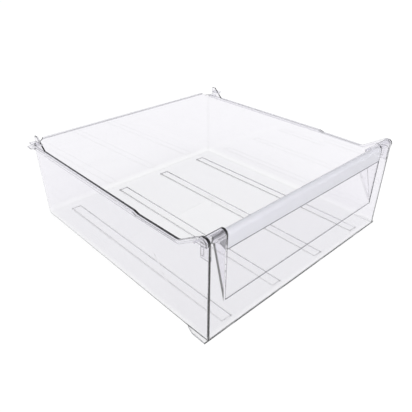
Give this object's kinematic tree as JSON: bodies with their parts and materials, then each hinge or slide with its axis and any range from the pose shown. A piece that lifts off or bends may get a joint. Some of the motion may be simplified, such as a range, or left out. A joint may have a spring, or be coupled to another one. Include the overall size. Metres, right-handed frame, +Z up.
{
  "type": "freezer drawer",
  "caption": "Clear plastic freezer drawer: a shallow open tub with side runner rails, a recessed front panel and a frosted grip strip along the top of the front.",
  "frame": {"origin": "bottom centre of the drawer's bounding box, on the surface it stands on", "axes": "+X to the drawer's right as seen from its front, +Y from the front panel to the back wall, +Z up"},
  "size_m": [0.437, 0.4402, 0.1605],
  "materials": {
    "clear_plastic": "clear polystyrene, polished",
    "frosted_plastic": "frosted, slightly translucent"
  },
  "bodies": {
    "root": {"drawer_tub": "clear_plastic", "front_panel": "clear_plastic", "handle_strip": "frosted_plastic"}
  },
  "joints": []
}
